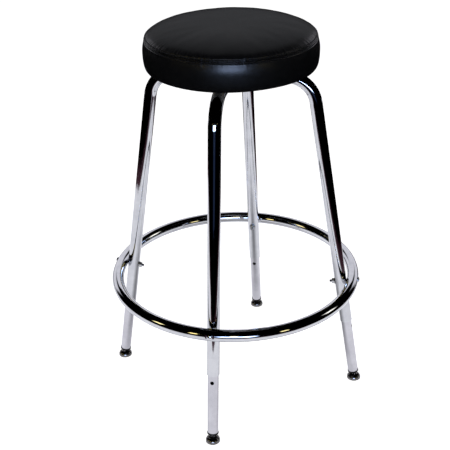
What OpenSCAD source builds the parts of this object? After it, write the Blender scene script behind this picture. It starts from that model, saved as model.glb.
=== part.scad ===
// Round padded swivel stool on four telescoping tube legs with a foot ring.
// Millimetres, +Z up. The origin is on the floor under the centre of the seat.
// The front leg points along -Y, the right leg along +X.

/* [Seat] */
// Height of the middle of the seat above the floor, as set
seat_h = 808; // [790:1:820]
// Radius of the seat at the seam between top and side
seam_r = 168; // [150:1:190]
// Height of the crown above the seam
crown_h = 25.6; // [16:1:34]
// How far the side stands out past the seam
side_bulge = 5.1; // [2:0.1:10]
// Thickness of the vinyl cover
cover_t = 1.2; // [0.8:0.1:2]
// Radius of the plywood board
board_r = 156; // [140:1:158]
// Thickness of the plywood board
board_t = 12; // [9:1:14]
// Number of staples under the seat
staple_count = 28; // [12:1:40]

/* [Swivel] */
// Width of the two square swivel plates
swivel_w = 140; // [130:1:142]
// Thickness of each swivel plate
swivel_t = 2; // [1.6:0.1:2.4]
// Gap between the swivel plates
swivel_gap = 4.6; // [4.4:0.1:4.8]
// Radius of the ring of balls
race_r = 45; // [35:1:52]
// Diameter of each ball
ball_d = 5; // [4.8:0.05:5.05]
// Number of balls
ball_count = 24; // [12:1:32]
// Radius of the pivot between the plates
pivot_r = 7; // [5:0.5:9]
// Running clearance of the pivot, on the radius
run_gap = 0.05; // [0.01:0.01:0.1]

/* [Legs] */
// Outside diameter of the fixed leg tubes
leg_d = 25.4; // [24:0.1:28]
// Wall of the fixed leg tubes
leg_wall = 1.5; // [1.2:0.1:1.8]
// Radius of the bend at the top of each leg, to the middle of the tube
bend_r = 60; // [50:1:70]
// Distance along the leg from the glide's barrel to the start of the bend
bend_at = 652.5; // [640:0.5:653]
// Distance of each glide from the centre of the stool
foot_r = 267.6; // [250:0.1:285]
// Distance along the leg from the glide's barrel to the end of the fixed tube
leg_end = 147.3; // [130:0.1:160]

/* [Extensions] */
// Outside diameter of the sliding tubes
ext_d = 22.24; // [22.2:0.01:22.38]
// Wall of the sliding tubes
ext_wall = 1.4; // [1:0.1:2]
// Distance between two holes of the row
hole_pitch = 38.1; // [36:0.1:40]
// Number of steps up or down from the middle hole
half_steps = 3; // [1:1:3]
// Radius of the holes of the row
hole_r = 4; // [3.5:0.1:4.5]
// Distance along the leg from the glide's barrel to the locking bolt
bolt_at = 246.5; // [240:0.1:250]

/* [Foot ring] */
// Outside diameter of the ring's tube
ring_d = 25; // [20:0.5:26]
// Wall of the ring's tube
ring_wall = 1.5; // [1.2:0.1:2]
// Radius of the locking bolt's shank
lock_r = 3.1; // [2.5:0.1:3.3]

/* [Glides] */
// Radius of a glide's base
glide_r = 15; // [13:0.5:18]
// Radius of the barrel that a glide tilts on
barrel_r = 4.5; // [4.3:0.1:4.6]
// Length of that barrel
barrel_len = 9; // [8:0.5:10]
// Height of the barrel's middle above the floor
barrel_z = 7; // [6.8:0.1:7.2]

/* [Hidden] */
$fn = 72;

FRONT = -90;
RIGHT = 0;
BACK = 90;
LEFT = 180;
SIDES = [FRONT, RIGHT, BACK, LEFT];

// Colours
vinyl = [0.05, 0.05, 0.06];
foam = [0.85, 0.8, 0.6];
plywood = [0.75, 0.6, 0.4];
cambric = [0.12, 0.12, 0.12];
zinc = [0.7, 0.71, 0.72];
chrome = [0.82, 0.83, 0.86];
nylon = [0.06, 0.06, 0.06];

// Leg geometry in the upright plane of one leg. The lean is twice the smallest
// angle of a 237, 3116, 3125 right triangle, so two half turns of it are exact.
half_lean = asin(237 / 3125);
splay = 2 * half_lean;
leg_r = leg_d / 2;
bend_x = foot_r - bend_r * cos(splay) - bend_at * sin(splay);
bend_z = barrel_z - bend_r * sin(splay) + bend_at * cos(splay);
leg_top_z = bend_z + bend_r;
leg_inner_end = 24;
leg_bolt_r = 3.3;
spot_r = 7.2;
spot_depth = 0.6;
nut_face = leg_r - spot_depth;

// Stack under the seat, from the legs up
ext_r = ext_d / 2;
ring_tube_r = ring_d / 2;
leg_plate_t = 2.5;
leg_plate_r = 100;
leg_plate_z = leg_top_z + leg_r;
base_plate_z = leg_plate_z + leg_plate_t;
top_plate_z = base_plate_z + swivel_t + swivel_gap;
balls_z = base_plate_z + swivel_t + swivel_gap / 2;
board_z = top_plate_z + swivel_t;
board_top = board_z + board_t;

// Outline of the cushion
seam_z = seat_h - crown_h;
side_r = seam_r + side_bulge;
side_z = seam_z - 27;
roll_z = board_z - 3;
roll_r = seam_r - 1.5;
return_z = board_z - cover_t;
return_out = seam_r - 32;
return_in = seam_r - 48;
crown_steps = 24;
crown_flat = 3.7;
crown_edge = 1.57;
side_steps = 6;
edge_steps = 12;
edge_power = 2.2;
rise_steps = 5;

// Swivel hardware
plate_corner = 8;
screw_ring = 62;
bolt_ring = 80;
groove_r = ball_d / 2 + 0.05;
pivot_flange_r = 12;
screw_r = 3;
tee_r = 4;
tee_flange_r = 9;
tee_flange_t = 1.5;

// Extension tube, along the leg from the glide's barrel
hole_rows = 2 * half_steps + 1;
first_hole = bolt_at - half_steps * hole_pitch;
ext_start = 15;
ext_end = bolt_at + half_steps * hole_pitch + 14;

// Foot ring: its tube rests against the outside of every leg
touch = 0.03;
ring_off = leg_r + ring_tube_r + touch;
ring_r = foot_r - bolt_at * sin(splay) + ring_off * cos(splay);
ring_z = barrel_z + bolt_at * cos(splay) + ring_off * sin(splay);
head_face = ring_off + ring_tube_r - spot_depth;
head_flat = 18;
washer_t = 1.2;
nut_t = 5;

// Tip insert and glide
insert_r = 12;
neck_r = 2.75;
cone_start = 8;
flange_start = 12.5;
plug_end = 40;
stud_end = 30;
shell_rim_z = 0.8;
shell_top_z = 12;
shell_top_r = 6.2;
socket_r = barrel_r + run_gap;
pad_r = glide_r - 1.6;
pad_top = 6;

// Points of the cushion's outline, moved in by d all round.
function crown_points(d) = [
  for (i = [0 : crown_steps])
    let (u = sin(90 * i / crown_steps))
    [u * (seam_r - d),
     seam_z + (crown_h - d) * pow(max(0, 1 - pow(u, crown_flat)), 1 / crown_edge)]
];
function side_points(d) = [
  for (i = [1 : side_steps])
    let (u = i / side_steps)
    [seam_r - d + side_bulge * sin(90 * u), seam_z + (side_z - seam_z) * u]
];
function edge_points(d) = [
  for (i = [1 : edge_steps])
    let (u = sin(90 * i / edge_steps))
    let (w = pow(max(0, 1 - pow(u, edge_power)), 1 / edge_power))
    [roll_r + (side_r - d - roll_r) * w, side_z + (roll_z + d - side_z) * u]
];
function rise_points(d) = [
  for (i = [0 : rise_steps])
    let (u = i / rise_steps)
    [return_out + 10 * (1 - u) + d * u,
     roll_z + d + (return_z - roll_z) * (1 - cos(180 * u)) / 2]
];
function outline(d) = concat(
  crown_points(d), side_points(d), edge_points(d), rise_points(d)
);
function reversed(list) = [for (i = [len(list) - 1 : -1 : 0]) list[i]];

// Leans children inward (way = -1), or stands leaning ones up again (way = 1).
module lean(way) {
  rotate([0, way * half_lean, 0])
    rotate([0, way * half_lean, 0])
      children();
}

// Places children in the frame of the leg that points along angle a:
// the barrel's middle is the origin, Z runs up the leg, X points outward.
module on_leg(a) {
  rotate([0, 0, a])
    translate([foot_r, 0, barrel_z])
      lean(-1)
        children();
}

// Places children upright at the glide of the leg that points along angle a.
module at_foot(a) {
  rotate([0, 0, a])
    translate([foot_r, 0, 0])
      children();
}

module tube_section(r, wall) {
  difference() {
    circle(r);
    circle(r - wall);
  }
}

module tube(r, wall, length) {
  linear_extrude(length)
    tube_section(r, wall);
}

// A cylinder along X in the frame of a leg, from x0 to x1 at height z.
module cross_rod(r, x0, x1, z) {
  translate([x0, 0, z])
    rotate([0, 90, 0])
      cylinder(r = r, h = x1 - x0);
}

// A cylinder along Y, with its middle at the origin.
module barrel(r, length) {
  rotate([90, 0, 0])
    cylinder(r = r, h = length, center = true);
}

module rounded_square(w, corner) {
  square([w, w - 2 * corner], center = true);
  square([w - 2 * corner, w], center = true);
  for (x = [-1, 1])
    for (y = [-1, 1])
      translate([x, y] * (w / 2 - corner))
        circle(corner);
}

// Children once at each corner between the legs, at distance r.
module at_corners(r) {
  for (a = SIDES)
    rotate([0, 0, a + 45])
      translate([r, 0, 0])
        children();
}

// ---- Seat ----

module seat_cover() {
  color(vinyl)
    rotate_extrude($fn = 144)
      polygon(concat(
        outline(0),
        [[return_in, return_z], [return_in, return_z + cover_t]],
        reversed(outline(cover_t))
      ));
}

module seat_foam() {
  color(foam)
    difference() {
      rotate_extrude($fn = 144)
        polygon(concat(
          outline(cover_t),
          [[board_r, board_z], [board_r, board_top], [0, board_top]]
        ));
      at_corners(screw_ring)
        translate([0, 0, board_top - 0.5])
          cylinder(r = tee_flange_r + 1, h = tee_flange_t + 4);
    }
}

module seat_board() {
  color(plywood)
    translate([0, 0, board_z])
      difference() {
        cylinder(r = board_r, h = board_t, $fn = 144);
        at_corners(screw_ring)
          translate([0, 0, -1])
            cylinder(r = tee_r, h = board_t + 2);
      }
}

module seat_tee_nuts() {
  barrel = board_t - 2;
  color(zinc)
    at_corners(screw_ring)
      difference() {
        union() {
          translate([0, 0, board_top])
            cylinder(r = tee_flange_r, h = tee_flange_t);
          translate([0, 0, board_top - barrel])
            cylinder(r = tee_r, h = barrel);
        }
        translate([0, 0, board_z])
          cylinder(r = screw_r, h = board_t + 5);
      }
}

module seat_dust_cover() {
  thick = 0.6;
  color(cambric)
    translate([0, 0, return_z - thick])
      linear_extrude(thick)
        difference() {
          circle(return_out - 0.5, $fn = 144);
          circle(leg_plate_r + 1, $fn = 144);
        }
}

module seat_staples() {
  crown = 10;
  wire = 0.7;
  prong = 5;
  low = return_z - 0.6 - wire;
  color(zinc)
    for (i = [0 : staple_count - 1])
      rotate([0, 0, 360 * i / staple_count])
        translate([return_out - 8, 0, low]) {
          translate([-wire / 2, -crown / 2, 0])
            cube([wire, crown, wire]);
          for (y = [-crown / 2, crown / 2 - wire])
            translate([-wire / 2, y, 0])
              cube([wire, wire, prong]);
        }
}

// ---- Swivel ----

module swivel_plate(z, bore, holes, hole_ring, groove_at) {
  difference() {
    translate([0, 0, z])
      linear_extrude(swivel_t)
        rounded_square(swivel_w, plate_corner);
    translate([0, 0, z - 1])
      cylinder(r = bore, h = swivel_t + 2);
    at_corners(hole_ring)
      translate([0, 0, z - 1])
        cylinder(r = holes, h = swivel_t + 2);
    translate([0, 0, groove_at])
      rotate_extrude()
        translate([race_r, 0])
          circle(groove_r, $fn = 48);
  }
}

module swivel_top_plate() {
  color(zinc)
    swivel_plate(top_plate_z, pivot_r, screw_r, screw_ring, balls_z);
}

module swivel_base_plate() {
  color(zinc)
    swivel_plate(base_plate_z, pivot_r + run_gap, leg_bolt_r, bolt_ring, balls_z);
}

module swivel_screws() {
  head = 2;
  color(zinc)
    at_corners(screw_ring) {
      translate([0, 0, top_plate_z - head])
        cylinder(r1 = 4.2, r2 = 5.2, h = head);
      translate([0, 0, top_plate_z])
        cylinder(r = screw_r, h = swivel_t + board_t + 2);
    }
}

module swivel_pivot() {
  flange_t = 1.7;
  flange_z = base_plate_z - 0.1 - flange_t;
  color(zinc) {
    translate([0, 0, flange_z])
      cylinder(r = pivot_flange_r, h = flange_t);
    translate([0, 0, flange_z])
      cylinder(r = pivot_r, h = board_z - flange_z);
  }
}

module swivel_cage() {
  thick = 1.2;
  color(zinc)
    difference() {
      translate([0, 0, balls_z - thick / 2])
        linear_extrude(thick)
          tube_section(race_r + 3.6, 7.2);
      for (i = [0 : ball_count - 1])
        rotate([0, 0, 360 * i / ball_count])
          translate([race_r, 0, balls_z - 1])
            cylinder(r = ball_d / 2 + 0.1, h = 2, $fn = 24);
    }
}

module swivel_balls() {
  color(chrome)
    for (i = [0 : ball_count - 1])
      rotate([0, 0, 360 * i / ball_count])
        translate([race_r, 0, balls_z])
          sphere(ball_d / 2, $fn = 24);
}

// ---- Frame ----

module leg_plate() {
  color(chrome)
    difference() {
      translate([0, 0, leg_plate_z])
        cylinder(r = leg_plate_r, h = leg_plate_t, $fn = 144);
      translate([0, 0, leg_plate_z - 1])
        cylinder(r = pivot_flange_r + 5, h = leg_plate_t + 2);
      at_corners(bolt_ring)
        translate([0, 0, leg_plate_z - 1])
          cylinder(r = leg_bolt_r, h = leg_plate_t + 2);
    }
}

module plate_bolts() {
  head = 2.4;
  shank = leg_plate_t + swivel_t + 8;
  color(zinc)
    at_corners(bolt_ring) {
      translate([0, 0, base_plate_z + swivel_t])
        cylinder(r1 = 5.5, r2 = 4.4, h = head);
      translate([0, 0, base_plate_z + swivel_t - shank])
        cylinder(r = screw_r, h = shank);
    }
}

module plate_nuts() {
  color(zinc)
    at_corners(bolt_ring)
      translate([0, 0, leg_plate_z - nut_t])
        difference() {
          cylinder(r = 5.77, h = nut_t, $fn = 6);
          translate([0, 0, -1])
            cylinder(r = screw_r, h = nut_t + 2);
        }
}

// Fillets of weld on both sides of each tube, under the leg plate.
module leg_welds() {
  bead = 2;
  bead_y = 5.4;
  bead_start = 36;
  bead_end = 92;
  color(chrome)
    for (a = SIDES)
      rotate([0, 0, a])
        difference() {
          for (y = [-bead_y, bead_y])
            translate([0, y, 0])
              cross_rod(bead, bead_start, bead_end, leg_plate_z - 1);
          cross_rod(leg_r, bead_start - 1, bead_end + 1, leg_top_z);
          translate([bead_start - 1, -leg_r, leg_plate_z])
            cube([bead_end - bead_start + 2, leg_d, 3]);
        }
}

// Part of a leg's bend about the origin, in the XZ plane, from one angle above
// +X to another.
module bend_part(from, to) {
  rotate([90, 0, 0])
    rotate_extrude(angle = to - from, start = from)
      translate([bend_r, 0])
        tube_section(leg_r, leg_wall);
}

// The bend is one torus drawn as two overlapping parts: the lower part starts
// square to the leaning tube, the upper part ends square to the level tube.
module leg_tube(a) {
  color(chrome)
    on_leg(a)
      difference() {
        union() {
          translate([0, 0, leg_end])
            tube(leg_r, leg_wall, bend_at - leg_end);
          translate([-bend_r, 0, bend_at]) {
            bend_part(0, 60);
            lean(1) {
              bend_part(40, 90);
              translate([leg_inner_end - bend_x, 0, bend_r])
                rotate([0, 90, 0])
                  tube(leg_r, leg_wall, bend_x - leg_inner_end);
            }
          }
        }
        cross_rod(leg_bolt_r, -leg_d, leg_d, bolt_at);
        cross_rod(spot_r, -leg_d, -nut_face, bolt_at);
      }
}

module foot_ring() {
  color(chrome)
    difference() {
      translate([0, 0, ring_z])
        rotate([0, 0, 45])
          rotate_extrude($fn = 180)
            translate([ring_r, 0])
              tube_section(ring_tube_r, ring_wall);
      for (a = SIDES)
        on_leg(a)
          union() {
            cross_rod(leg_bolt_r, leg_r - 2, ring_off + ring_d, bolt_at);
            translate([head_face, -head_flat / 2, bolt_at - head_flat / 2])
              cube([ring_d, head_flat, head_flat]);
          }
    }
}

// Dome-headed bolts that go through the ring, the leg and its extension.
module ring_bolts() {
  head_r = 5.8;
  head_h = 3.6;
  tail = 5;
  color(chrome)
    for (a = SIDES)
      on_leg(a) {
        cross_rod(lock_r, -(nut_face + washer_t + nut_t + tail), head_face, bolt_at);
        translate([head_face, 0, bolt_at])
          rotate([0, 90, 0])
            rotate_extrude()
              polygon(concat(
                [[0, 0], [head_r, 0]],
                [for (i = [0 : 8]) [head_r * cos(90 * i / 8),
                                    0.8 + (head_h - 0.8) * sin(90 * i / 8)]]
              ));
      }
}

module ring_washers() {
  color(zinc)
    for (a = SIDES)
      on_leg(a)
        difference() {
          cross_rod(spot_r - 0.2, -(nut_face + washer_t), -nut_face, bolt_at);
          cross_rod(lock_r, -leg_d, 0, bolt_at);
        }
}

module ring_nuts() {
  outer = nut_face + washer_t + nut_t;
  color(zinc)
    for (a = SIDES)
      on_leg(a)
        difference() {
          translate([-outer, 0, bolt_at])
            rotate([0, 90, 0])
              cylinder(r = 6.4, h = nut_t, $fn = 6);
          cross_rod(lock_r, -outer - 1, 0, bolt_at);
        }
}

// ---- Extensions ----

module extension(a) {
  color(chrome)
    on_leg(a)
      difference() {
        translate([0, 0, ext_start])
          tube(ext_r, ext_wall, ext_end - ext_start);
        for (i = [0 : hole_rows - 1])
          cross_rod(hole_r, -ext_d, ext_d, first_hole + i * hole_pitch);
      }
}

module tip_insert(a) {
  color(nylon)
    on_leg(a)
      difference() {
        union() {
          translate([0, 0, cone_start])
            cylinder(r1 = 5, r2 = 10.5, h = flange_start - cone_start);
          translate([0, 0, flange_start])
            cylinder(r = insert_r, h = ext_start - flange_start);
          translate([0, 0, ext_start])
            cylinder(r = ext_r - ext_wall, h = plug_end - ext_start);
        }
        translate([0, 0, cone_start - 1])
          cylinder(r = neck_r, h = stud_end - cone_start + 1);
      }
}

module glide_stud(a) {
  color(chrome)
    on_leg(a) {
      barrel(barrel_r, barrel_len);
      cylinder(r = neck_r, h = stud_end);
    }
}

// ---- Glides ----

module glide_shell(a) {
  color(chrome)
    at_foot(a)
      difference() {
        rotate_extrude()
          polygon(concat(
            [[pad_r, shell_rim_z], [glide_r, shell_rim_z]],
            [for (i = [0 : 10])
              [shell_top_r + (glide_r - shell_top_r) * cos(9 * i),
               3 + (shell_top_z - 3) * sin(9 * i)]],
            [[3.5, shell_top_z], [3.5, pad_top], [pad_r, pad_top]]
          ));
        translate([0, 0, barrel_z])
          barrel(socket_r, barrel_len + 2 * run_gap);
        translate([0, 0, barrel_z + 2.2])
          cylinder(r1 = 4, r2 = 5.6, h = shell_top_z - barrel_z - 2.1);
      }
}

module glide_pad(a) {
  color(nylon)
    at_foot(a)
      difference() {
        cylinder(r = pad_r, h = pad_top);
        translate([0, 0, barrel_z])
          barrel(socket_r, barrel_len + 2 * run_gap);
      }
}

seat_cover();
seat_foam();
seat_board();
seat_tee_nuts();
seat_dust_cover();
seat_staples();
swivel_top_plate();
swivel_screws();
swivel_pivot();
swivel_cage();
swivel_balls();
swivel_base_plate();
leg_plate();
plate_bolts();
plate_nuts();
leg_welds();
foot_ring();
ring_bolts();
ring_washers();
ring_nuts();
leg_tube(FRONT);  // leg_tube_front
leg_tube(RIGHT);  // leg_tube_right
leg_tube(BACK);  // leg_tube_back
leg_tube(LEFT);  // leg_tube_left
extension(FRONT);  // extension_front
extension(RIGHT);  // extension_right
extension(BACK);  // extension_back
extension(LEFT);  // extension_left
tip_insert(FRONT);  // tip_insert_front
tip_insert(RIGHT);  // tip_insert_right
tip_insert(BACK);  // tip_insert_back
tip_insert(LEFT);  // tip_insert_left
glide_stud(FRONT);  // glide_stud_front
glide_stud(RIGHT);  // glide_stud_right
glide_stud(BACK);  // glide_stud_back
glide_stud(LEFT);  // glide_stud_left
glide_shell(FRONT);  // glide_shell_front
glide_shell(RIGHT);  // glide_shell_right
glide_shell(BACK);  // glide_shell_back
glide_shell(LEFT);  // glide_shell_left
glide_pad(FRONT);  // glide_pad_front
glide_pad(RIGHT);  // glide_pad_right
glide_pad(BACK);  // glide_pad_back
glide_pad(LEFT);  // glide_pad_left
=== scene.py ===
"""Looks of the adjustable swivel stool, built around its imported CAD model.
Metres, +Z up; the front leg points along -Y."""

import math

import bmesh
import bpy
import numpy as np
from mathutils import Matrix, Vector
from mathutils.bvhtree import BVHTree


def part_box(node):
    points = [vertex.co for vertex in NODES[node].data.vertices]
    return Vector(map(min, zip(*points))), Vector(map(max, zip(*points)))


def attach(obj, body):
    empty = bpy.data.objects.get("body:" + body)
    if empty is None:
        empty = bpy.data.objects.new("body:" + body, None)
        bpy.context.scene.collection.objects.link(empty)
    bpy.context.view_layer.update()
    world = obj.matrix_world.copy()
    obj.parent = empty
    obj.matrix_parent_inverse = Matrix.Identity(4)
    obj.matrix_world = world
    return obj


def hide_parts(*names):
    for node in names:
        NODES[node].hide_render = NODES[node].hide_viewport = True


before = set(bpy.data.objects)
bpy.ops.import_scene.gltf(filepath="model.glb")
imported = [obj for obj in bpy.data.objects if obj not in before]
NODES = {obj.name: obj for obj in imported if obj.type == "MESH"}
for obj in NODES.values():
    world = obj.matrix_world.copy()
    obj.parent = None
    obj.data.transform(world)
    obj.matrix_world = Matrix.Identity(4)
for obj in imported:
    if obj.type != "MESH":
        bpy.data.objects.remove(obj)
bpy.context.view_layer.update()
SCENE = bpy.context.scene

# ---- Camera ----

CAM_PLACE = Vector((0.36640, -1.81340, 1.33410))
CAM_HEADING = 0.210217  # radians, from +Y towards -X
CAM_PITCH = 0.4820
CAM_ROLL = -0.0243
CAM_LENS = 78.2


def make_camera():
    heading = -CAM_HEADING
    ahead = Vector((
        math.sin(heading) * math.cos(CAM_PITCH),
        math.cos(heading) * math.cos(CAM_PITCH),
        -math.sin(CAM_PITCH),
    ))
    right = ahead.cross(Vector((0, 0, 1))).normalized()
    up = right.cross(ahead)
    cos_roll = math.cos(CAM_ROLL)
    sin_roll = math.sin(CAM_ROLL)
    x_axis = right * cos_roll + up * sin_roll
    y_axis = up * cos_roll - right * sin_roll
    data = bpy.data.cameras.new("camera")
    data.lens = CAM_LENS
    data.sensor_width = 36
    data.clip_start, data.clip_end = 0.05, 100
    cam = bpy.data.objects.new("camera", data)
    SCENE.collection.objects.link(cam)
    turn = Matrix((x_axis, y_axis, -ahead)).transposed()
    cam.matrix_world = Matrix.Translation(CAM_PLACE) @ turn.to_4x4()
    SCENE.camera = cam


# ---- Node helpers ----


class Shader:
    """A Principled material with short calls for its nodes."""

    def __init__(self, name, colour, metallic=0.0, roughness=0.5, **sockets):
        self.mat = bpy.data.materials.new(name)
        self.mat.use_nodes = True
        self.tree = self.mat.node_tree
        self.bsdf = self.tree.nodes["Principled BSDF"]
        self.bsdf.inputs["Base Color"].default_value = (*colour, 1)
        self.bsdf.inputs["Metallic"].default_value = metallic
        self.bsdf.inputs["Roughness"].default_value = roughness
        for key, value in sockets.items():
            self.bsdf.inputs[key.replace("_", " ")].default_value = value
        self.coords = self.tree.nodes.new("ShaderNodeTexCoord").outputs["Object"]
        self.height = None

    def node(self, kind, **settings):
        n = self.tree.nodes.new(kind)
        for key, value in settings.items():
            setattr(n, key, value)
        return n

    def link(self, a, b):
        self.tree.links.new(a, b)

    def scaled(self, scale=(1, 1, 1), turn=(0, 0, 0)):
        n = self.node("ShaderNodeMapping")
        n.inputs["Scale"].default_value = scale
        n.inputs["Rotation"].default_value = turn
        self.link(self.coords, n.inputs["Vector"])
        return n.outputs["Vector"]

    def noise(self, scale, detail=3.0, rough=0.55, warp=0.0, at=None):
        n = self.node("ShaderNodeTexNoise")
        self.link(self.coords if at is None else at, n.inputs["Vector"])
        n.inputs["Scale"].default_value = scale
        n.inputs["Detail"].default_value = detail
        n.inputs["Roughness"].default_value = rough
        n.inputs["Distortion"].default_value = warp
        return n.outputs["Fac"]

    def cells(self, scale, feature="F1", smooth=None, at=None, spread=1.0):
        n = self.node("ShaderNodeTexVoronoi", feature=feature)
        self.link(self.coords if at is None else at, n.inputs["Vector"])
        n.inputs["Scale"].default_value = scale
        n.inputs["Randomness"].default_value = spread
        if smooth is not None:
            n.inputs["Smoothness"].default_value = smooth
        return n.outputs["Distance"]

    def ramp(self, value, stops):
        n = self.node("ShaderNodeValToRGB")
        ramp = n.color_ramp
        while len(ramp.elements) < len(stops):
            ramp.elements.new(0.5)
        for e, (place, colour) in zip(ramp.elements, stops):
            e.position = place
            e.color = (*colour, 1)
        self.link(value, n.inputs["Fac"])
        return n.outputs["Color"]

    def spread(self, value, lo, hi, at=(0.3, 0.7)):
        n = self.node("ShaderNodeMapRange")
        self.link(value, n.inputs["Value"])
        for socket, number in zip(("From Min", "From Max", "To Min", "To Max"),
                                  (*at, lo, hi)):
            n.inputs[socket].default_value = number
        return n.outputs["Result"]

    def sums(self, *terms):
        """The sum of value * weight over (value, weight) pairs."""
        total = None
        for value, weight in terms:
            n = self.node("ShaderNodeMath", operation="MULTIPLY_ADD")
            self.link(value, n.inputs[0])
            n.inputs[1].default_value = weight
            if total is None:
                n.inputs[2].default_value = 0.0
            else:
                self.link(total, n.inputs[2])
            total = n.outputs[0]
        return total

    def colour(self, value):
        self.link(value, self.bsdf.inputs["Base Color"])

    def rough(self, value):
        self.link(value, self.bsdf.inputs["Roughness"])

    def bump(self, value, depth, strength=1.0):
        """Adds a bump, depth in metres, on top of the ones made before."""
        n = self.node("ShaderNodeBump")
        n.inputs["Strength"].default_value = strength
        n.inputs["Distance"].default_value = depth
        self.link(value, n.inputs["Height"])
        if self.height is not None:
            self.link(self.height, n.inputs["Normal"])
        self.height = n.outputs["Normal"]
        self.link(self.height, self.bsdf.inputs["Normal"])


# ---- Materials ----


def chrome(name, low, high, rough=(0.03, 0.07)):
    """Plated tube: clear reflections, faint cloudy patches and polishing waves."""
    s = Shader(name, low, metallic=1.0, roughness=rough[0])
    cloud = s.noise(26, 4, 0.6)
    s.colour(s.ramp(cloud, [(0.35, low), (0.65, high)]))
    smear = s.noise(70, 5, 0.65, warp=0.6)
    s.rough(s.spread(smear, *rough))
    s.bump(s.noise(45, 2, 0.5), 0.00006)
    s.bump(s.noise(1400, 2, 0.5), 0.0000015)
    return s.mat


def zinc_plate():
    """Zinc plate with a faint yellow passivate, blotched, and fine drawn lines."""
    s = Shader("zinc", (0.55, 0.56, 0.58), metallic=1.0, roughness=0.3)
    blotch = s.noise(60, 5, 0.6, warp=0.8)
    s.colour(s.ramp(blotch, [
        (0.3, (0.42, 0.44, 0.48)), (0.5, (0.58, 0.59, 0.60)),
        (0.7, (0.62, 0.58, 0.47))]))
    s.rough(s.spread(s.noise(160, 4), 0.24, 0.42))
    s.bump(s.noise(900, 4, 0.6), 0.00002)
    return s.mat


def polished_steel():
    s = Shader("bright_steel", (0.62, 0.62, 0.63), metallic=1.0, roughness=0.15)
    s.colour(s.ramp(s.noise(90, 3), [
        (0.35, (0.52, 0.52, 0.54)), (0.65, (0.66, 0.66, 0.67))]))
    s.rough(s.spread(s.noise(240, 4), 0.10, 0.22))
    s.bump(s.noise(1200, 3), 0.000008)
    return s.mat


def black_enamel():
    """Baked enamel on plate: orange peel, and dull where it is dusty."""
    s = Shader("black_steel", (0.012, 0.012, 0.013), roughness=0.3, IOR=1.5)
    s.colour(s.ramp(s.noise(35, 5), [
        (0.35, (0.008, 0.008, 0.009)), (0.7, (0.02, 0.02, 0.021))]))
    s.rough(s.spread(s.noise(80, 5, 0.6), 0.22, 0.5))
    s.bump(s.cells(420, "SMOOTH_F1", 1.0), 0.00008)
    return s.mat


def nylon():
    """Moulded nylon with the fine spark texture of its mould."""
    s = Shader("black_plastic", (0.005, 0.005, 0.005), roughness=0.4, IOR=1.53,
               Specular_IOR_Level=0.1)
    s.colour(s.ramp(s.noise(120, 4), [
        (0.35, (0.002, 0.002, 0.002)), (0.7, (0.006, 0.006, 0.006))]))
    s.rough(s.spread(s.noise(300, 4, 0.6), 0.32, 0.55))
    s.bump(s.noise(2600, 3, 0.6), 0.00005)
    return s.mat


def birch_plywood():
    """Face grain along X, and nine plies in the edge."""
    s = Shader("plywood", (0.55, 0.38, 0.2), roughness=0.6)
    grain = s.noise(14, 6, 0.65, warp=0.5, at=s.scaled((1.5, 14, 3)))
    pores = s.noise(60, 5, 0.7, at=s.scaled((1.2, 22, 8)))
    plies = s.node("ShaderNodeTexWave", bands_direction="Z")
    s.link(s.coords, plies.inputs["Vector"])
    plies.inputs["Scale"].default_value = 115
    plies.inputs["Distortion"].default_value = 0.35
    plies.inputs["Detail"].default_value = 3
    mixed = s.sums((grain, 0.6), (pores, 0.25), (plies.outputs["Fac"], 0.15))
    s.colour(s.ramp(mixed, [
        (0.3, (0.34, 0.21, 0.10)), (0.5, (0.56, 0.39, 0.21)),
        (0.7, (0.68, 0.51, 0.31))]))
    s.rough(s.spread(pores, 0.5, 0.75))
    s.bump(pores, 0.00015)
    return s.mat


def black_vinyl():
    """Upholstery vinyl: embossed pebble grain with a low satin gloss."""
    s = Shader("vinyl", (0.002, 0.002, 0.002), roughness=0.4, IOR=1.5,
               Specular_IOR_Level=0.2,
               Coat_Weight=0.8, Coat_Roughness=0.28)
    warp = s.noise(240, 3, 0.6)
    pebble = s.cells(760, "SMOOTH_F1", 0.55)
    crease = s.cells(420, "DISTANCE_TO_EDGE")
    wear = s.noise(9, 5, 0.6)
    s.colour(s.ramp(s.sums((wear, 0.7), (pebble, 0.3)), [
        (0.3, (0.0012, 0.0012, 0.0014)), (0.7, (0.003, 0.003, 0.0034))]))
    s.rough(s.spread(s.sums((wear, 0.5), (warp, 0.5)), 0.32, 0.42))
    s.bump(s.noise(30, 3), 0.0003)
    s.bump(pebble, 0.00022, 0.9)
    s.bump(s.ramp(crease, [(0.0, (0, 0, 0)), (0.25, (1, 1, 1))]), 0.00008, 0.8)
    s.bump(s.noise(170, 4, 0.6, at=s.scaled((1, 2.2, 1))), 0.0003)
    return s.mat


def thread_material():
    """Bonded black thread: two plies laid round each other."""
    s = Shader("thread", (0.01, 0.01, 0.012), roughness=0.42, IOR=1.5)
    s.bsdf.inputs["Sheen Weight"].default_value = 0.05
    twist = s.noise(2600, 2, 0.5, at=s.scaled((1, 1, 2.5), (0.5, 0.3, 0)))
    s.colour(s.ramp(twist, [(0.35, (0.002, 0.002, 0.003)),
                            (0.65, (0.008, 0.008, 0.010))]))
    s.rough(s.spread(twist, 0.4, 0.6))
    s.bump(twist, 0.0001)
    return s.mat


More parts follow.
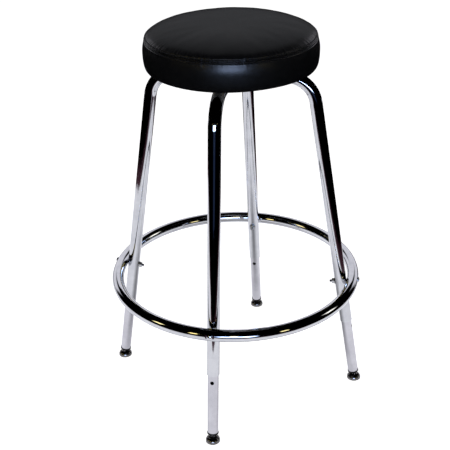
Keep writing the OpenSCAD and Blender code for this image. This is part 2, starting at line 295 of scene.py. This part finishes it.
def cambric():
    """Thin spun-bonded dust cloth: dimples in a diamond lattice, loose fibres."""
    s = Shader("cambric", (0.012, 0.012, 0.013), roughness=0.9)
    s.bsdf.inputs["Sheen Weight"].default_value = 0.15
    fibre = s.noise(900, 6, 0.75, at=s.scaled((1, 3, 1), (0, 0, 0.7)))
    dimple = s.cells(620, "F1", spread=0.0, at=s.scaled((1, 1, 0), (0, 0, 0.785)))
    s.colour(s.ramp(s.sums((fibre, 0.7), (dimple, 0.3)), [
        (0.35, (0.003, 0.003, 0.0035)), (0.7, (0.016, 0.016, 0.017))]))
    s.rough(s.spread(fibre, 0.8, 1.0))
    s.bump(dimple, 0.00025)
    s.bump(fibre, 0.0001)
    return s.mat


def seat_foam():
    s = Shader("foam", (0.7, 0.6, 0.35), roughness=0.95)
    pore = s.cells(700)
    s.colour(s.ramp(pore, [(0.1, (0.45, 0.36, 0.18)), (0.5, (0.74, 0.65, 0.42))]))
    s.rough(s.spread(s.noise(200), 0.85, 1.0))
    s.bump(pore, 0.0004)
    return s.mat


make_camera()
FINISH = {
    "chrome": chrome("chrome", (0.60, 0.61, 0.64), (0.70, 0.71, 0.73)),
    "chrome_tube": chrome("chrome_tube", (0.58, 0.575, 0.61), (0.67, 0.665, 0.70),
                          rough=(0.08, 0.14)),
    # glide_chrome is the same plating painted far darker than chrome: painted shade for
    # the dark surroundings that the glides mirror
    "glide_chrome": chrome("glide_chrome", (0.15, 0.145, 0.14), (0.26, 0.25, 0.24),
                           rough=(0.04, 0.10)),
    "zinc": zinc_plate(),
    "bright_steel": polished_steel(),
    "black_steel": black_enamel(),
    "black_plastic": nylon(),
    "plywood": birch_plywood(),
    "vinyl": black_vinyl(),
    "cambric": cambric(),
    "foam": seat_foam(),
}
for obj in NODES.values():
    for held in obj.material_slots:
        wanted = held.material.name.split(".")[0]
        held.material = FINISH[wanted]

# ---- Cushion ----

SEAM_R, SEAM_Z = 0.168, 0.7824
SEAT_TOP = 0.808
CROWN_FLAT, CROWN_EDGE = 3.7, 1.57  # powers: flat in the middle, round at its edge
SIDE_R, SIDE_Z = 0.1731, 0.7554  # where the side stands out furthest
BOARD_MIN, BOARD_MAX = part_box("seat_board")
BOARD_LOW, BOARD_TOP, BOARD_R = BOARD_MIN.z, BOARD_MAX.z, BOARD_MAX.x
ROLL_R, ROLL_Z = 0.1665, BOARD_LOW - 0.003  # where the side has turned under
ROLL_POWER = 2.2
RETURN_OUT, RETURN_IN = 0.136, 0.120
RETURN_Z = BOARD_LOW - 0.0012
CLEAR = 0.0003  # between the cushion and its board
TOUCH = 0.0001  # between the return and the board it is stapled to

ROUND = 720  # points round the rim
STITCH_PITCH = 0.0058
STITCHES = round(2 * math.pi * SEAM_R / STITCH_PITCH)
STITCH_ROWS = (-0.0036, 0.0036)  # above and below the seam, along the skin

# The sewn detail: its depth or height over the plain skin, and its reach along it.
GROOVE_DEPTH, GROOVE_REACH = 0.0013, 0.0009
SWELL_HEIGHT, SWELL_FROM_SEAM = 0.00055, 0.0019
ROW_DEPTH, ROW_REACH = 0.00045, 0.0008
PULL_DEPTH, PULL_REACH = 0.00022, 0.0021
PUFF_HEIGHT, PUFF_REACH = 0.0003, 0.001
GATHER_DEPTH = {"above": 0.00028, "below": 0.00016}
GATHER_REACH = {"above": 0.011, "below": 0.006}
GATHER_START = 0.004  # gathers are full up to here and fade past it
SOFT_DEPTH = 0.0005  # slow unevenness of the whole skin

# The simulated puck that the skin's unevenness comes from.
PUCK_INSET = 0.004
PUCK_VOXEL = 0.0045
PUCK_PRESSURE = 4
PUCK_FRAMES = 20
PUCK_CAP = 0.022  # furthest that a point may move
LUMP_TURNS = 360  # places round the rim where the puck is measured
LUMP_SHARE = 0.22  # part of its unevenness that the skin takes


def superellipse(u, flat, edge):
    """Falls from 1 to 0 while u goes from 0 to 1."""
    return np.power(np.maximum(0, 1 - np.power(u, flat)), 1 / edge)


def outline(inset=0.0):
    """Radius and height along the cushion's skin, from the middle of the top
    over the seam and round the edge to where the return starts under the board.
    Also gives the length along the skin from the seam to each point."""
    quarter = math.pi / 2
    u = np.sin(np.linspace(0, quarter, 400))
    crown = np.stack([
        u * (SEAM_R - inset),
        SEAM_Z + (SEAT_TOP - SEAM_Z - inset) * superellipse(u, CROWN_FLAT, CROWN_EDGE)], 1)
    u = np.linspace(0, 1, 80)[1:]
    side = np.stack([
        SEAM_R - inset + (SIDE_R - SEAM_R) * np.sin(u * quarter),
        SEAM_Z + (SIDE_Z - SEAM_Z) * u], 1)
    u = np.sin(np.linspace(0, quarter, 120)[1:])
    roll = np.stack([
        ROLL_R + (SIDE_R - inset - ROLL_R) * superellipse(u, ROLL_POWER, ROLL_POWER),
        SIDE_Z + (ROLL_Z + inset - SIDE_Z) * u], 1)
    line = np.concatenate([crown, side, roll])
    steps = np.linalg.norm(np.diff(line, axis=0), axis=1)
    along = np.concatenate([[0], np.cumsum(steps)])
    return line, along - along[len(crown) - 1]


def lathe(profile, counts, name):
    """A mesh of rings about Z, with count points each; a count is the one before
    it or half or double that. The first ring may be the axis, with count 1."""
    verts, faces, starts = [], [], []
    for (r, z), n in zip(profile, counts):
        starts.append(len(verts))
        for i in range(n):
            a = 2 * math.pi * i / n
            verts.append((r * math.cos(a), r * math.sin(a), z))
    for k in range(len(counts) - 1):
        a, b, n, m = starts[k], starts[k + 1], counts[k], counts[k + 1]
        if n == 1:
            faces += [(a, b + i, b + (i + 1) % m) for i in range(m)]
        elif m == 1:
            faces += [(a + i, b, a + (i + 1) % n) for i in range(n)]
        elif n == m:
            faces += [(a + i, b + i, b + (i + 1) % m, a + (i + 1) % n)
                      for i in range(n)]
        elif m == 2 * n:
            for i in range(n):
                j, mid = (i + 1) % n, b + 2 * i + 1
                faces += [(a + i, b + 2 * i, mid), (a + i, mid, a + j),
                          (a + j, mid, b + (2 * i + 2) % m)]
        else:
            for i in range(m):
                j, mid = (i + 1) % m, a + 2 * i + 1
                faces += [(a + 2 * i, b + i, mid), (mid, b + i, b + j),
                          (mid, b + j, a + (2 * i + 2) % n)]
    mesh = bpy.data.meshes.new(name)
    mesh.from_pydata(verts, [], faces)
    mesh.polygons.foreach_set("use_smooth", [True] * len(faces))
    mesh.update()
    return mesh, starts


def add(mesh, mat):
    obj = bpy.data.objects.new(mesh.name, mesh)
    SCENE.collection.objects.link(obj)
    obj.data.materials.append(mat)
    return obj


def puck():
    """A cushion a little smaller than the real one, in an even voxel mesh."""
    line, along = outline(PUCK_INSET)
    places = np.concatenate([
        np.linspace(along[0], -0.004, 40), np.linspace(0, along[-1], 16)])
    picked = np.minimum(np.searchsorted(along, places), len(line) - 1)
    profile = [tuple(line[k]) for k in picked]
    profile += [(0.12, ROLL_Z + PUCK_INSET), (0.0, ROLL_Z + PUCK_INSET)]
    counts = [1] + [120] * (len(profile) - 2) + [1]
    mesh, _ = lathe(profile, counts, "puck")
    obj = add(mesh, FINISH["vinyl"])
    remesh = obj.modifiers.new("remesh", "REMESH")
    remesh.mode = "VOXEL"
    remesh.voxel_size = PUCK_VOXEL
    bake(obj)
    return obj


def simulated_skin():
    """Blows up the puck with Blender's Cloth, sewn down at the seam and stapled
    at the bottom. Gives a BVH of the result."""
    obj = puck()
    rest = vertices(obj.data)
    radius = np.hypot(rest[:, 0], rest[:, 1])
    sewn = (np.abs(rest[:, 2] - SEAM_Z) < 0.004) & (radius > SEAM_R - 0.012)
    held = sewn | (rest[:, 2] < ROLL_Z + PUCK_INSET + 0.006)
    group = obj.vertex_groups.new(name="held")
    group.add(np.nonzero(held)[0].tolist(), 1.0, "REPLACE")
    cloth = obj.modifiers.new("cloth", "CLOTH")
    cloth.settings.quality = 6
    cloth.settings.mass = 0.5
    cloth.settings.tension_stiffness = 25
    cloth.settings.compression_stiffness = 12
    cloth.settings.shear_stiffness = 8
    cloth.settings.bending_stiffness = 0.8
    cloth.settings.shrink_min = -0.012
    cloth.settings.use_pressure = True
    cloth.settings.uniform_pressure_force = PUCK_PRESSURE
    cloth.settings.vertex_group_mass = "held"
    cloth.settings.effector_weights.gravity = 0
    cloth.collision_settings.use_collision = False
    cloth.point_cache.frame_start = 1
    cloth.point_cache.frame_end = PUCK_FRAMES
    for f in range(1, PUCK_FRAMES + 1):
        SCENE.frame_set(f)
    bake(obj)
    SCENE.frame_set(1)
    moved = vertices(obj.data) - rest
    far = np.linalg.norm(moved, axis=1, keepdims=True)
    moved *= np.minimum(1, PUCK_CAP / np.maximum(far, 1e-9))
    set_vertices(obj.data, rest + moved)
    smooth = obj.modifiers.new("finer", "SUBSURF")
    smooth.levels = 1
    smooth.render_levels = 1
    bake(obj)
    tree = BVHTree.FromPolygons(
        [v.co.copy() for v in obj.data.vertices],
        [tuple(p.vertices) for p in obj.data.polygons])
    bpy.data.objects.remove(obj)
    return tree


def bake(obj):
    """Puts the result of an object's modifiers in its own mesh."""
    dg = bpy.context.evaluated_depsgraph_get()
    made = bpy.data.meshes.new_from_object(obj.evaluated_get(dg))
    obj.modifiers.clear()
    obj.data = made


def vertices(mesh):
    co = np.zeros(len(mesh.vertices) * 3, np.float32)
    mesh.vertices.foreach_get("co", co)
    return co.reshape(-1, 3).astype(float)


def set_vertices(mesh, co):
    mesh.vertices.foreach_set("co", co.astype(np.float32).ravel())
    mesh.update()


def skin_offsets(tree, line, normals, turns):
    """How far the simulated skin stands out from the plain outline at each point
    of the line, one row for each turn, less each ring's mean, and smoothed."""
    behind, reach = 0.03, 0.08
    found = np.zeros((len(turns), len(line)))
    for i, a in enumerate(turns):
        c, s = math.cos(a), math.sin(a)
        for k, ((r, z), (nr, nz)) in enumerate(zip(line, normals)):
            out = Vector((nr * c, nr * s, nz))
            start = Vector((r * c, r * s, z)) - out * behind
            hit, _, _, far = tree.ray_cast(start, out, reach)
            found[i, k] = far - behind if hit else np.nan
    lumps = np.nan_to_num(found - np.nanmean(found, axis=0))
    for _ in range(8):
        lumps = (np.roll(lumps, 1, 0) + 2 * lumps + np.roll(lumps, -1, 0)) / 4
        lumps[:, 1:-1] = (lumps[:, :-2] + 2 * lumps[:, 1:-1] + lumps[:, 2:]) / 4
    return lumps


def waves(angle, seed, lowest, highest, count):
    """A smooth random wave round the rim, made of whole-number waves."""
    rng = np.random.default_rng(seed)
    total = np.zeros_like(angle)
    for _ in range(count):
        n = rng.integers(lowest, highest + 1)
        total += rng.uniform(0.4, 1) * np.sin(n * angle + rng.uniform(0, 6.283))
    return total / math.sqrt(count)


def cushion_rows():
    """Places of the rings, by length along the skin from the seam, and the count
    of points in each: close together near the seam, and fewer near the middle."""
    line, along = outline()
    fine = np.concatenate([
        np.arange(0, 0.0066, 0.0006), np.arange(0.0072, 0.016, 0.0011)])
    above = np.arange(along[0] + 0.0035, -0.016, 0.0035)
    below = np.arange(0.0175, along[-1], 0.002)
    places = np.concatenate([[along[0]], above, -fine[:0:-1], fine, below, [along[-1]]])
    r = np.interp(places, along, line[:, 0])
    z = np.interp(places, along, line[:, 1])
    coarsest, widest = 45, 0.0019
    counts = [1, coarsest]
    for k in range(2, len(places)):
        n = coarsest
        while n < ROUND and 2 * math.pi * r[k] / n > widest:
            n *= 2
        counts.append(min(n, 2 * counts[-1]))
    return places, r, z, counts


def bell(distance, reach):
    return np.exp(-((distance / reach) ** 2))


def seam_shape(s, angle):
    """Height of the sewn detail over the plain skin, at a length from the seam."""
    shape = SWELL_HEIGHT * bell(abs(s) - SWELL_FROM_SEAM, GROOVE_REACH)
    shape = shape - GROOVE_DEPTH * bell(s, GROOVE_REACH)
    pull = 0.75 + 0.25 * waves(angle, seed=5, lowest=9, highest=60, count=9)
    at_holes = pull * (1 + np.cos(STITCHES * angle)) / 2
    for row in STITCH_ROWS:
        shape = shape - ROW_DEPTH * bell(s - row, ROW_REACH)
        shape = shape - PULL_DEPTH * bell(s - row, PULL_REACH) * at_holes
        shape = shape + PUFF_HEIGHT * bell(abs(s - row) - PULL_REACH, PUFF_REACH)
    where = "above" if s < 0 else "below"
    fade = bell(max(0, abs(s) - GATHER_START), GATHER_REACH[where])
    gathers = waves(angle, seed=11, lowest=34, highest=150, count=16)
    return shape + GATHER_DEPTH[where] * fade * gathers


def under_side():
    """Radius, height and count of points for the rings that close the cushion:
    the pleated return, then up round the board and over its top."""
    low, top = BOARD_LOW - TOUCH, BOARD_TOP + CLEAR
    n = ROUND
    return [
        (ROLL_R - 0.004, ROLL_Z, n), (0.153, ROLL_Z, n), (0.146, ROLL_Z, n),
        (0.143, ROLL_Z + 0.0005, n), (0.140, ROLL_Z + 0.0013, n),
        (RETURN_OUT, RETURN_Z, n), (0.128, RETURN_Z, n), (RETURN_IN, RETURN_Z, n),
        (RETURN_IN, low, n // 2), (0.135, low, n // 2), (BOARD_R, low, n // 2),
        (BOARD_R + CLEAR, BOARD_LOW, n // 2), (BOARD_R + CLEAR, BOARD_TOP, n // 4),
        (BOARD_R - 0.001, top, n // 4), (0.12, top, n // 8),
        (0.08, BOARD_TOP + 0.002, n // 8), (0.04, BOARD_TOP + 0.002, n // 16),
        (0, BOARD_TOP + 0.002, 1)]


def cushion():
    """The padded seat: a structured skin over the simulated one, with its seam,
    topstitch rows and gathers, closed under the board."""
    places, r, z, counts = cushion_rows()
    line = np.stack([r, z], 1)
    along = np.gradient(line, axis=0)
    along /= np.linalg.norm(along, axis=1, keepdims=True)
    normals = np.stack([-along[:, 1], along[:, 0]], 1)
    normals[0] = (0, 1)
    lumps = None
    turns = np.linspace(0, 2 * math.pi, LUMP_TURNS, endpoint=False)
    lumps = skin_offsets(simulated_skin(), line, normals, turns)
    under = under_side()
    mesh, starts = lathe(list(zip(r, z)) + [(ur, uz) for ur, uz, _ in under],
                         counts + [n for _, _, n in under], "seat_cushion")
    co = vertices(mesh)
    rim = {}
    for k, (s, count) in enumerate(zip(places, counts)):
        angle = 2 * math.pi * np.arange(count) / count
        slow = waves(angle, seed=3, lowest=2, highest=7, count=5)
        move = SOFT_DEPTH * slow * min(1, r[k] / 0.1)
        if abs(s) < 0.03:
            move = move + seam_shape(s, angle)
        if lumps is not None:
            move = move + LUMP_SHARE * np.interp(
                angle, turns, lumps[:, k], period=2 * math.pi)
        nr, nz = normals[k]
        at = slice(starts[k], starts[k] + count)
        co[at, 0] += move * nr * np.cos(angle)
        co[at, 1] += move * nr * np.sin(angle)
        co[at, 2] += move * nz
        if count == ROUND:
            rim[float(s)] = (co[at].copy(), np.array([nr, nz]))
    angle = 2 * math.pi * np.arange(ROUND) / ROUND
    pleats = 0.0005 * waves(angle, seed=21, lowest=20, highest=90, count=12) - 0.0004
    pleated_rings = 4
    for k in range(len(places), len(places) + pleated_rings):
        co[starts[k]:starts[k] + ROUND, 2] += pleats
    set_vertices(mesh, co)
    fix_normals(mesh)
    return add(mesh, FINISH["vinyl"]), rim


def fix_normals(mesh):
    bm = bmesh.new()
    bm.from_mesh(mesh)
    bmesh.ops.recalc_face_normals(bm, faces=bm.faces)
    bm.to_mesh(mesh)
    bm.free()


STITCH_CUTS, THREAD_SIDES, THREAD_R = 7, 6, 0.00033


def stitch(ring, normal, middle):
    """Points of one stitch: a short arc of thread whose ends go down into the
    vinyl."""
    nr, nz = normal
    half = 0.40 * 2 * math.pi / STITCHES
    points = []
    for t in np.linspace(-1, 1, STITCH_CUTS):
        a = middle + half * t
        place = a / (2 * math.pi) * ROUND
        k = int(place) % ROUND
        share = place - int(place)
        on_skin = ring[k] * (1 - share) + ring[(k + 1) % ROUND] * share
        out = np.array([nr * math.cos(a), nr * math.sin(a), nz])
        across = np.cross(out, [-math.sin(a), math.cos(a), 0])
        centre = on_skin + out * (0.00042 * (1 - t ** 4) - 0.0004 * t ** 8)
        size = THREAD_R * (0.6 if abs(t) > 0.99 else 1)
        for q in range(THREAD_SIDES):
            w = 2 * math.pi * q / THREAD_SIDES
            points.append(centre + size * (out * math.cos(w) + across * math.sin(w)))
    return points


def topstitch(rim):
    """Every stitch of both rows."""
    keys = np.array(sorted(rim))
    verts, faces = [], []
    for row in STITCH_ROWS:
        ring, normal = rim[keys[np.argmin(np.abs(keys - row))]]
        for i in range(STITCHES):
            start = len(verts)
            verts += stitch(ring, normal, 2 * math.pi * (i + 0.5) / STITCHES)
            last = start + (STITCH_CUTS - 1) * THREAD_SIDES
            for cut in range(start, last, THREAD_SIDES):
                for q in range(THREAD_SIDES):
                    here, beside = cut + q, cut + (q + 1) % THREAD_SIDES
                    faces.append((here, beside, beside + THREAD_SIDES,
                                  here + THREAD_SIDES))
            faces.append(tuple(start + q for q in range(THREAD_SIDES))[::-1])
            faces.append(tuple(last + q for q in range(THREAD_SIDES)))
    mesh = bpy.data.meshes.new("seat_topstitch")
    mesh.from_pydata([tuple(v) for v in verts], [], faces)
    mesh.polygons.foreach_set("use_smooth", [True] * len(faces))
    fix_normals(mesh)
    return add(mesh, thread_material())


CLOTH_THICK = 0.0004
CLOTH_IN, CLOTH_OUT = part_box("leg_plate")[1].x + 0.001, 0.1352
STAPLES, STAPLE_R = 28, 0.128


def dust_cover():
    """The cloth under the seat, stapled near its edge, slack between staples."""
    rings, n = np.linspace(CLOTH_IN, CLOTH_OUT, 16), 336
    angle = 2 * math.pi * np.arange(n) / n
    pleat = waves(angle, seed=31, lowest=14, highest=60, count=10)
    between = (1 - np.cos(STAPLES * angle)) / 2
    top = []
    for r in rings:
        u = (r - CLOTH_IN) / (STAPLE_R - CLOTH_IN)
        sag = 0.0013 * math.sin(math.pi * u) if u < 1 else 0
        fringe = max(0.0, u - 1) * 4
        drop = sag * (0.8 + 0.2 * pleat) + (0.0004 + 0.0006 * fringe) * between * min(1, u)
        z = RETURN_Z - 0.00015 - drop
        top.append(np.stack([r * np.cos(angle), r * np.sin(angle), z], 1))
    low = [ring - np.array([0, 0, CLOTH_THICK]) for ring in top]
    co = np.concatenate(top + low[::-1])
    rows, faces = 2 * len(rings), []
    for k in range(rows):
        for i in range(n):
            a, b = k * n, (k + 1) % rows * n
            faces.append((a + i, a + (i + 1) % n, b + (i + 1) % n, b + i))
    mesh = bpy.data.meshes.new("seat_dust_cloth")
    mesh.from_pydata([tuple(v) for v in co], [], faces)
    mesh.polygons.foreach_set("use_smooth", [True] * len(faces))
    fix_normals(mesh)
    return add(mesh, FINISH["cambric"])


seat, rim_rings = cushion()
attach(seat, "seat")
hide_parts("seat_cover", "seat_foam")

thread = topstitch(rim_rings)
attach(thread, "seat")

cloth = dust_cover()
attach(cloth, "seat")
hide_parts("seat_dust_cover")


# ---- Studio ----

# Each light: turn from the front, half its width and the fade past it, lowest and
# highest place, colour, strength, and the fades below and above. Angles in degrees.
PANELS = [
    (180, 46, 10, -12, 20, (0.98, 0.97, 1.05), 0.84, 3, 8),
    (180, 16, 12, 28, 38, (0.98, 0.97, 1.05), 0.84, 8, 8),
    (-3, 2.5, 2, 15, 22, (1.0, 0.84, 0.42), 3.0, 2, 2),
    (0, 10, 9, 1, 9, (0.60, 0.78, 1.2), 8.5, 3, 6),
    (0, 10, 6, -20, -2, (0.25, 0.42, 1.0), 0.05, 10, 2),
    (-38, 2.5, 2, 14, 22, (1.0, 0.80, 0.30), 2.6, 3, 3),
    (-74, 3, 3, 20, 30, (1.0, 0.86, 0.42), 2.2, 3, 3),
    (41, 2.5, 2, 12, 20, (1.0, 0.84, 0.40), 2.2, 3, 3),
    (92, 4, 4, 18, 30, (1.0, 0.96, 0.88), 1.8, 3, 4),
]


def studio_world():
    """What the stool mirrors: a dark room with a pale backdrop behind the stool,
    one small cool light in front and a few small warm ones. They are placed from
    the heading of the main camera, and chosen by trial for that view only."""
    world = bpy.data.worlds.new("studio")
    SCENE.world = world
    world.use_nodes = True
    tree = world.node_tree
    tree.nodes.clear()
    out = tree.nodes.new("ShaderNodeOutputWorld")
    background = tree.nodes.new("ShaderNodeBackground")
    tree.links.new(background.outputs[0], out.inputs[0])
    coords = tree.nodes.new("ShaderNodeTexCoord").outputs["Generated"]
    split = tree.nodes.new("ShaderNodeSeparateXYZ")
    tree.links.new(coords, split.inputs[0])

    def math_node(kind, a, b=None):
        n = tree.nodes.new("ShaderNodeMath")
        n.operation = kind
        for value, socket in ((a, n.inputs[0]), (b, n.inputs[1])):
            if isinstance(value, (int, float)):
                socket.default_value = value
            elif value is not None:
                tree.links.new(value, socket)
        return n.outputs[0]

    def step(value, start, end, lo=0.0, hi=1.0):
        n = tree.nodes.new("ShaderNodeMapRange")
        n.interpolation_type = "SMOOTHSTEP"
        tree.links.new(value, n.inputs["Value"])
        for name, number in (("From Min", start), ("From Max", end),
                             ("To Min", lo), ("To Max", hi)):
            n.inputs[name].default_value = number
        return n.outputs[0]

    x, y, z = split.outputs
    height = math_node("MULTIPLY", math_node("ARCSINE", z), 180 / math.pi)
    front = math.radians(-90) + CAM_HEADING

    def panel(turn, half, soft, low, high, colour, strength, soft_low, soft_high):
        """Light in directions within half of turn degrees from the front, and
        between two heights in degrees. Its edges fade over the soft values."""
        a = front + math.radians(turn)
        ahead = math_node("ADD", math_node("MULTIPLY", x, math.cos(a)),
                          math_node("MULTIPLY", y, math.sin(a)))
        across = math_node("SUBTRACT", math_node("MULTIPLY", y, math.cos(a)),
                           math_node("MULTIPLY", x, math.sin(a)))
        off = math_node("ABSOLUTE", math_node("MULTIPLY", math_node(
            "ARCTAN2", across, ahead), 180 / math.pi))
        share = math_node("MULTIPLY", step(off, half, half + soft, 1, 0), math_node(
            "MULTIPLY", step(height, low - soft_low, low), step(
                height, high, high + soft_high, 1, 0)))
        n = tree.nodes.new("ShaderNodeMix")
        n.data_type = "RGBA"
        tree.links.new(share, n.inputs["Factor"])
        n.inputs["A"].default_value = (0, 0, 0, 1)
        n.inputs["B"].default_value = (*[c * strength for c in colour], 1)
        return n.outputs["Result"]

    parts = [panel(*p) for p in PANELS]
    total = None
    for part in parts:
        if total is None:
            total = part
            continue
        n = tree.nodes.new("ShaderNodeVectorMath")
        n.operation = "ADD"
        tree.links.new(total, n.inputs[0])
        tree.links.new(part, n.inputs[1])
        total = n.outputs[0]
    tree.links.new(total, background.inputs["Color"])


def glow(name, strength, body=0.0):
    """An evenly glowing white surface that is also a plain pale one."""
    mat = bpy.data.materials.new(name)
    mat.use_nodes = True
    bsdf = mat.node_tree.nodes["Principled BSDF"]
    bsdf.inputs["Base Color"].default_value = (body, body, body, 1)
    bsdf.inputs["Roughness"].default_value = 1
    bsdf.inputs["Specular IOR Level"].default_value = 0
    bsdf.inputs["Emission Color"].default_value = (1, 1, 1, 1)
    bsdf.inputs["Emission Strength"].default_value = strength
    return mat


def seen_by(obj, camera=True, glossy=True, diffuse=True, shadow=True):
    obj.visible_camera = camera
    obj.visible_glossy = glossy
    obj.visible_diffuse = diffuse
    obj.visible_transmission = False
    obj.visible_shadow = shadow


def disc(name, radii, height, mat):
    mesh, _ = lathe([(0, height)] + [(r, height) for r in radii],
                    [1] + [96] * len(radii), name)
    fix_normals(mesh)
    return add(mesh, mat)


def stage_floor():
    """A pale floor and a white surround beyond it, which reflections don't see,
    and a painted patch of floor that only reflections see."""
    floor = disc("floor", (1, 4, 40), 0, glow("floor_paint", 0.93, 0.8))
    seen_by(floor, glossy=False)
    mesh, _ = lathe([(60 * math.cos(a), 60 * math.sin(a) - 1)
                     for a in np.linspace(math.pi / 2, -0.05, 24)],
                    [1] + [96] * 23, "surround")
    surround = add(mesh, glow("surround_paint", 1.0))
    seen_by(surround, glossy=False, diffuse=False, shadow=False)
    patch = disc("mirrored_floor", (0.5, 1.0, 1.5, 2.0, 2.6), 0.0004, patch_paint())
    seen_by(patch, camera=False, diffuse=False, shadow=False)


def patch_paint():
    """Pale floor out to an oval edge, then a dim maroon one that ends in the dark; with a
    painted shadow under the stool, where its glow is dimmer."""
    s = Shader("patch_paint", (0, 0, 0), roughness=1.0)
    s.bsdf.inputs["Specular IOR Level"].default_value = 0

    def reach(scale, shift):
        place = s.node("ShaderNodeMapping")
        place.inputs["Scale"].default_value = scale
        place.inputs["Location"].default_value = shift
        s.link(s.coords, place.inputs["Vector"])
        far = s.node("ShaderNodeVectorMath", operation="LENGTH")
        s.link(place.outputs["Vector"], far.inputs[0])
        return far.outputs["Value"]

    far = reach((0.36, 0.46, 0), (0.11, 0, 0))
    s.link(s.ramp(far, [
        (0.0, (0.90, 0.90, 0.96)), (0.425, (0.92, 0.92, 0.97)),
        (0.45, (0.060, 0.028, 0.038)), (0.50, (0.040, 0.016, 0.024)),
        (0.56, (0, 0, 0))]), s.bsdf.inputs["Emission Color"])
    # Painted shadow under the stool: the glow is dimmed to 0.32 near the stool's axis and
    # rises to full strength further out, with a noisy edge.
    near = s.sums((reach((1, 1, 0), (0, 0, 0)), 1.0), (s.noise(7, 3, 0.6), 0.12))
    s.link(s.spread(near, 0.32, 1.0, at=(0.12, 0.37)),
           s.bsdf.inputs["Emission Strength"])
    return s.mat


FLAG_AWAY = 0.35  # from the stool's axis, behind it
# name, half width, lowest, highest
FLAGS = [("low_flag", 0.75, 0.56, 0.80), ("tall_flag", 0.36, 0.80, 2.2)]
UNDER_FLAG = (0.14, 0.42, 0.7205)  # inner and outer radius, height


def flags():
    """Dark cards close to the seat, seen only in reflections. The top of the seat
    mirrors the tall one in place of the bright backdrop, and its sides mirror the
    low one and the ring-shaped one under it; the foot ring sees past them. Their
    sizes and places are chosen by trial for the main camera's view."""
    s = Shader("flag_paint", (0, 0, 0), roughness=1.0)
    s.bsdf.inputs["Specular IOR Level"].default_value = 0
    s.bsdf.inputs["Emission Strength"].default_value = 1.0
    split = s.node("ShaderNodeSeparateXYZ")
    s.link(s.coords, split.inputs[0])
    s.link(s.ramp(split.outputs["Z"], [
        (0.80, (0, 0, 0)), (0.86, (0.125, 0.128, 0.138))]),
        s.bsdf.inputs["Emission Color"])
    back = Vector((-math.sin(CAM_HEADING), math.cos(CAM_HEADING), 0))
    right = Vector((math.cos(CAM_HEADING), math.sin(CAM_HEADING), 0))
    for name, half, low, high in FLAGS:
        corners = [back * FLAG_AWAY + right * side * half + Vector((0, 0, z))
                   for side, z in ((-1, low), (1, low), (1, high), (-1, high))]
        mesh = bpy.data.meshes.new(name)
        mesh.from_pydata([tuple(c) for c in corners], [], [(0, 1, 2, 3)])
        mesh.update()
        seen_by(add(mesh, s.mat), camera=False, diffuse=False, shadow=False)
    inner, outer, height = UNDER_FLAG
    mesh, _ = lathe([(inner, height), (outer, height)], [96, 96], "under_flag")
    seen_by(add(mesh, s.mat), camera=False, diffuse=False, shadow=False)


def lamp(name, place, target, watts):
    data = bpy.data.lights.new(name, "AREA")
    data.shape = "DISK"
    data.size = 1.6
    data.energy = watts
    obj = bpy.data.objects.new(name, data)
    SCENE.collection.objects.link(obj)
    obj.location = place
    way = Vector(target) - Vector(place)
    obj.rotation_euler = way.to_track_quat("-Z", "Y").to_euler()
    obj.visible_camera = False
    obj.visible_glossy = False


studio_world()
stage_floor()
flags()
lamp("key", (-0.9, -1.2, 3.0), (0, 0, 0.3), 26)
lamp("fill", (1.6, 0.8, 2.4), (0, 0, 0.4), 10)
SCENE.view_settings.view_transform = "Standard"

bpy.context.view_layer.update()
